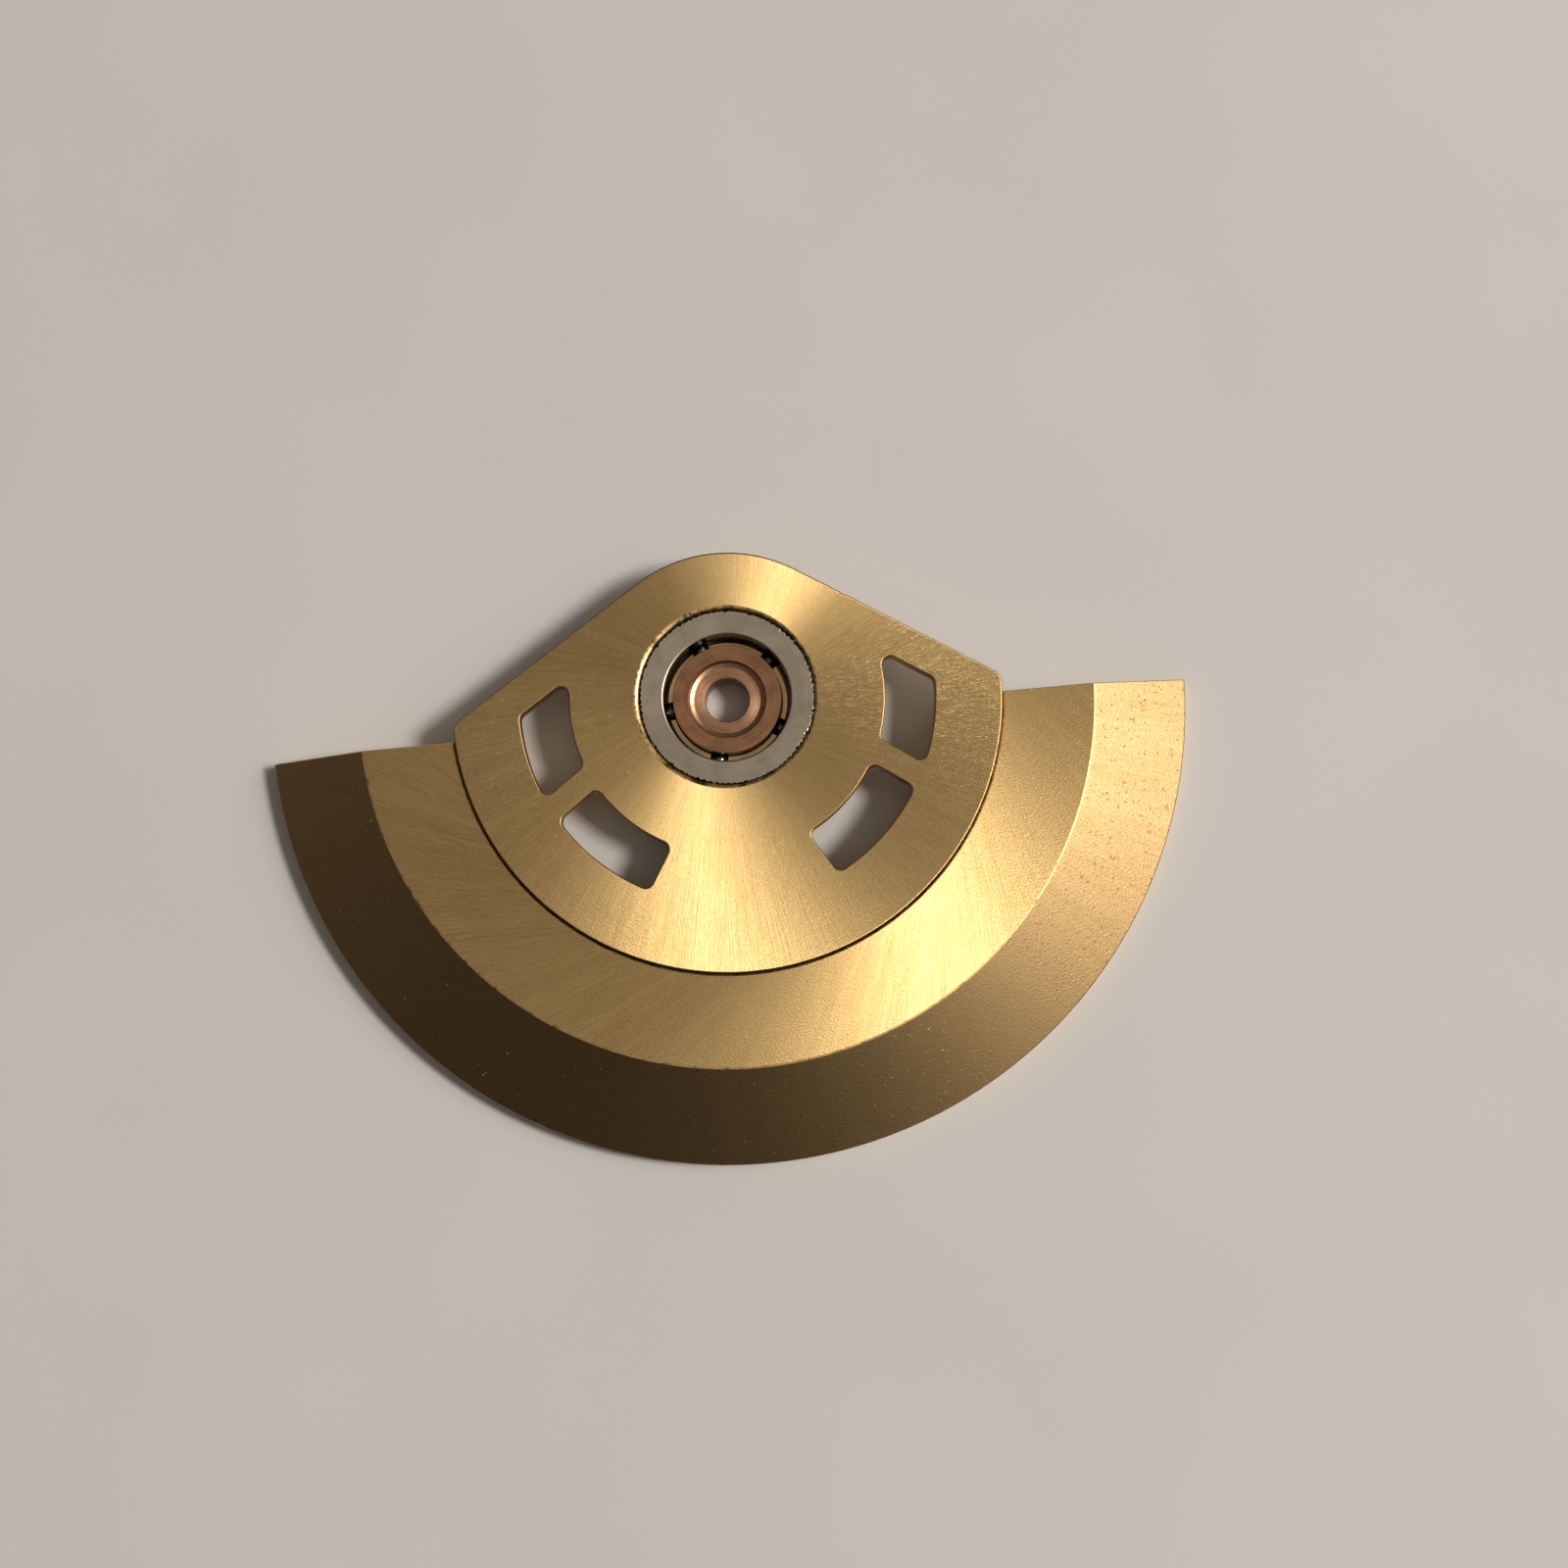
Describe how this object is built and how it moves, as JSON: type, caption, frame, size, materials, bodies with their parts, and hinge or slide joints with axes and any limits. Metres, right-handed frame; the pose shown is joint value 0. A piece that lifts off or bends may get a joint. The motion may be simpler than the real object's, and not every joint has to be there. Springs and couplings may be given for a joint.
{
  "type": "automatic watch rotor",
  "caption": "Self-winding watch rotor: a half-ring weight under a fan-shaped plate with windows, turning on a ball bearing, with a toothed wheel underneath.",
  "frame": {"origin": "centre of the bearing hub's lower end, which seats on the movement", "axes": "+Z along the bearing axis, away from the movement and towards the finished face; +X along the weight's straight ends; the weight hangs towards -Y"},
  "size_m": [0.029, 0.0191, 0.0022],
  "materials": {
    "gilt_plate": "gilt, brushed in rays from the bearing",
    "gilt_weight": "gilt, the land brushed and the bevel brushed across",
    "screw_steel": "polished heads",
    "ring_steel": "fine satin",
    "wheel_brass": "gilt, satin",
    "copper_alloy": "turned, copper coloured",
    "cage_brass": "gilt, satin",
    "ball_steel": "polished"
  },
  "bodies": {
    "hub": {"bearing_hub": "copper_alloy", "bearing_lower_race": "copper_alloy"},
    "rotor": {"rotor_plate": "gilt_plate", "weight_segment": "gilt_weight", "segment_screws": "screw_steel", "bearing_outer_ring": "ring_steel", "drive_wheel": "wheel_brass"},
    "cage": {"ball_cage": "cage_brass"},
    "ball_1": {"ball_1": "ball_steel"},
    "ball_2": {"ball_2": "ball_steel"},
    "ball_3": {"ball_3": "ball_steel"},
    "ball_4": {"ball_4": "ball_steel"},
    "ball_5": {"ball_5": "ball_steel"}
  },
  "joints": [
    {"name": "rotor_spin", "type": "hinge", "parent": "hub", "child": "rotor", "pos_m": [0, 0, 0], "axis": [0, 0, 1], "continuous": true},
    {"name": "cage_spin", "type": "hinge", "parent": "hub", "child": "cage", "pos_m": [0, 0, 0], "axis": [0, 0, 1], "continuous": true},
    {"name": "ball_1_spin", "type": "hinge", "parent": "cage", "child": "ball_1", "pos_m": [0.00141, 0.0012, 0.00063], "axis": [0, 0, 1], "continuous": true},
    {"name": "ball_2_spin", "type": "hinge", "parent": "cage", "child": "ball_2", "pos_m": [-0.0007, 0.00171, 0.00063], "axis": [0, 0, 1], "continuous": true},
    {"name": "ball_3_spin", "type": "hinge", "parent": "cage", "child": "ball_3", "pos_m": [-0.00184, -0.00014, 0.00063], "axis": [0, 0, 1], "continuous": true},
    {"name": "ball_4_spin", "type": "hinge", "parent": "cage", "child": "ball_4", "pos_m": [-0.00044, -0.0018, 0.00063], "axis": [0, 0, 1], "continuous": true},
    {"name": "ball_5_spin", "type": "hinge", "parent": "cage", "child": "ball_5", "pos_m": [0.00158, -0.00097, 0.00063], "axis": [0, 0, 1], "continuous": true}
  ],
  "couplings": [
    {"joint": "cage_spin", "follows": "rotor_spin", "ratio": 0.58108},
    {"joint": "ball_1_spin", "follows": "rotor_spin", "ratio": 3.0023},
    {"joint": "ball_2_spin", "follows": "rotor_spin", "ratio": 3.0023},
    {"joint": "ball_3_spin", "follows": "rotor_spin", "ratio": 3.0023},
    {"joint": "ball_4_spin", "follows": "rotor_spin", "ratio": 3.0023},
    {"joint": "ball_5_spin", "follows": "rotor_spin", "ratio": 3.0023}
  ]
}
